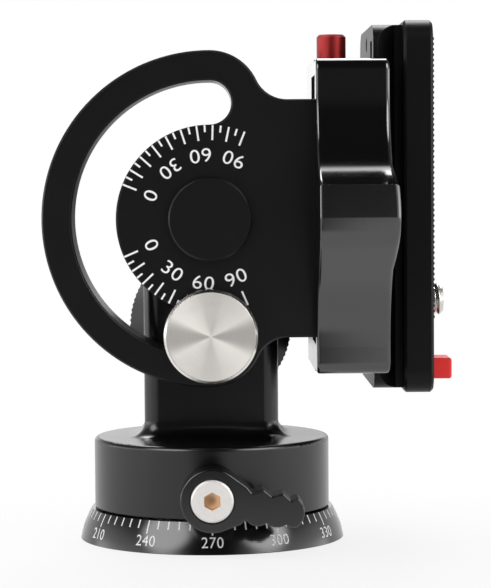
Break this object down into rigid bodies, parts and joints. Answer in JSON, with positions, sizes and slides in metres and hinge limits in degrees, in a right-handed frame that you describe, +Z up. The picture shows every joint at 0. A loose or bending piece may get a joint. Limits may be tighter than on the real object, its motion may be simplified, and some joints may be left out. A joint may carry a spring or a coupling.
{
  "type": "two-way tilt head",
  "caption": "Tilt head for a tripod: round panning base with a degree ring, slotted tilt arm with dial, and a dovetail clamp with camera plate.",
  "frame": {"origin": "centre of the base's underside, on the pan axis, at the mouth of the tripod thread", "axes": "+Z up along the pan axis; +X towards the camera plate; +Y away from the dial side, along the tilt axis"},
  "size_m": [0.0783, 0.0742, 0.0992],
  "materials": {
    "black_anodised": "black anodised, satin",
    "black_dial": "black anodised, with plain white scale",
    "black_arm": "black anodised, fine blasted",
    "black_clamp": "black anodised, semi gloss",
    "black_plate": "black anodised, blasted",
    "black_knob": "black anodised, knurled",
    "black_lever": "black, satin",
    "black_plastic": "matte",
    "steel": "bright steel",
    "turned_steel": "turned, fine rings",
    "dark_steel": "black oxide",
    "brass": "machined",
    "bronze": "sintered",
    "nylon": "natural",
    "red_anodised": "red anodised",
    "red_tab": "bright red",
    "white_mark": "white engraving fill",
    "rubber": "ribbed rubber"
  },
  "bodies": {
    "base": {"base_dial": "black_dial", "pan_spindle": "steel", "dial_screws": "dark_steel", "thrust_washer": "nylon"},
    "housing": {"stem_housing": "black_anodised", "retaining_screws": "dark_steel", "lever_washer": "steel", "pivot_bolt": "steel", "pivot_spring_washer": "steel", "pivot_nut": "dark_steel", "tilt_friction_washer": "nylon"},
    "pan_lever": {"pan_lock_lever": "black_lever", "lever_screw": "steel"},
    "brake_shoe": {"pan_brake_shoe": "brass"},
    "arm": {"tilt_plate": "black_arm", "pivot_bushing": "bronze", "pivot_cap": "black_arm", "clamp_body": "black_clamp", "clamp_mount_screws": "dark_steel", "clamp_dowels": "steel", "jaw_guide_pins": "steel", "jaw_springs": "steel", "button_spring": "steel", "pin_spring": "steel"},
    "tilt_bolt": {"tilt_clamp_bolt": "turned_steel", "slot_washer": "nylon", "slot_bushing": "nylon"},
    "tilt_knob": {"tilt_lock_knob": "black_knob", "knob_insert": "brass", "knob_end_cap": "black_plastic"},
    "jaw": {"clamp_jaw": "black_clamp"},
    "jaw_knob": {"clamp_knob": "black_knob", "clamp_screw": "steel", "clamp_knob_washer": "nylon", "screw_clip": "steel"},
    "button": {"release_button": "red_anodised"},
    "lock_pin": {"safety_pin": "steel"},
    "plate": {"camera_plate": "black_plate", "rubber_pad": "rubber", "plate_stop_screws": "dark_steel", "tab_pin": "steel"},
    "keeper": {"screw_retainer": "dark_steel"},
    "mount_screw": {"camera_screw": "steel"},
    "flip_stop": {"stop_tab": "red_tab"}
  },
  "joints": [
    {"name": "pan", "type": "hinge", "parent": "base", "child": "housing", "pos_m": [0, 0, 0], "axis": [0, 0, 1], "continuous": true},
    {"name": "pan_lever_turn", "type": "hinge", "parent": "brake_shoe", "child": "pan_lever", "pos_m": [0, -0.0244, 0.0107], "axis": [0, -1, 0], "range_deg": [0, 120]},
    {"name": "brake_shoe_slide", "type": "slide", "parent": "housing", "child": "brake_shoe", "axis": [0, -1, 0], "range_m": [0, 0.0002667]},
    {"name": "tilt", "type": "hinge", "parent": "housing", "child": "arm", "pos_m": [0, -0.0125, 0.0622], "axis": [0, -1, 0], "range_deg": [0, 180]},
    {"name": "tilt_knob_turn", "type": "hinge", "parent": "housing", "child": "tilt_knob", "pos_m": [0, 0.0167, 0.04043], "axis": [0, 1, 0], "range_deg": [0, 360]},
    {"name": "tilt_bolt_slide", "type": "slide", "parent": "housing", "child": "tilt_bolt", "axis": [0, -1, 0], "range_m": [0, 0.001]},
    {"name": "jaw_slide", "type": "slide", "parent": "arm", "child": "jaw", "axis": [0, 1, 0], "range_m": [0, 0.004]},
    {"name": "jaw_knob_turn", "type": "hinge", "parent": "jaw", "child": "jaw_knob", "pos_m": [0.0256, 0.0307, 0.0626], "axis": [0, 1, 0], "range_deg": [0, 1440]},
    {"name": "release_button_press", "type": "slide", "parent": "arm", "child": "button", "axis": [0, 0, -1], "range_m": [0, 0.0016], "stiffness_N_per_m": 400, "springref_m": -0.001, "deforming": ["button_spring"]},
    {"name": "safety_pin_slide", "type": "slide", "parent": "arm", "child": "lock_pin", "axis": [-1, 0, 0], "range_m": [0, 0.0016]},
    {"name": "plate_slide", "type": "slide", "parent": "arm", "child": "plate", "axis": [0, 0, 1], "range_m": [-0.01, 0.033]},
    {"name": "camera_screw_slide", "type": "slide", "parent": "plate", "child": "keeper", "axis": [0, 0, 1], "range_m": [0, 0.025]},
    {"name": "camera_screw_turn", "type": "hinge", "parent": "keeper", "child": "mount_screw", "pos_m": [0.0344, 0, 0.0459], "axis": [1, 0, 0], "continuous": true},
    {"name": "stop_tab_fold", "type": "hinge", "parent": "plate", "child": "flip_stop", "pos_m": [0.0394, 0, 0.0327], "axis": [0, -1, 0], "range_deg": [0, 90]}
  ],
  "couplings": [
    {"joint": "pan_lever_turn", "follows": "brake_shoe_slide", "rad_per_m": 7854},
    {"joint": "tilt_knob_turn", "follows": "tilt_bolt_slide", "rad_per_m": 6283.2},
    {"joint": "jaw_knob_turn", "follows": "jaw_slide", "rad_per_m": 6283.2},
    {"joint": "safety_pin_slide", "follows": "release_button_press", "ratio": 1}
  ]
}
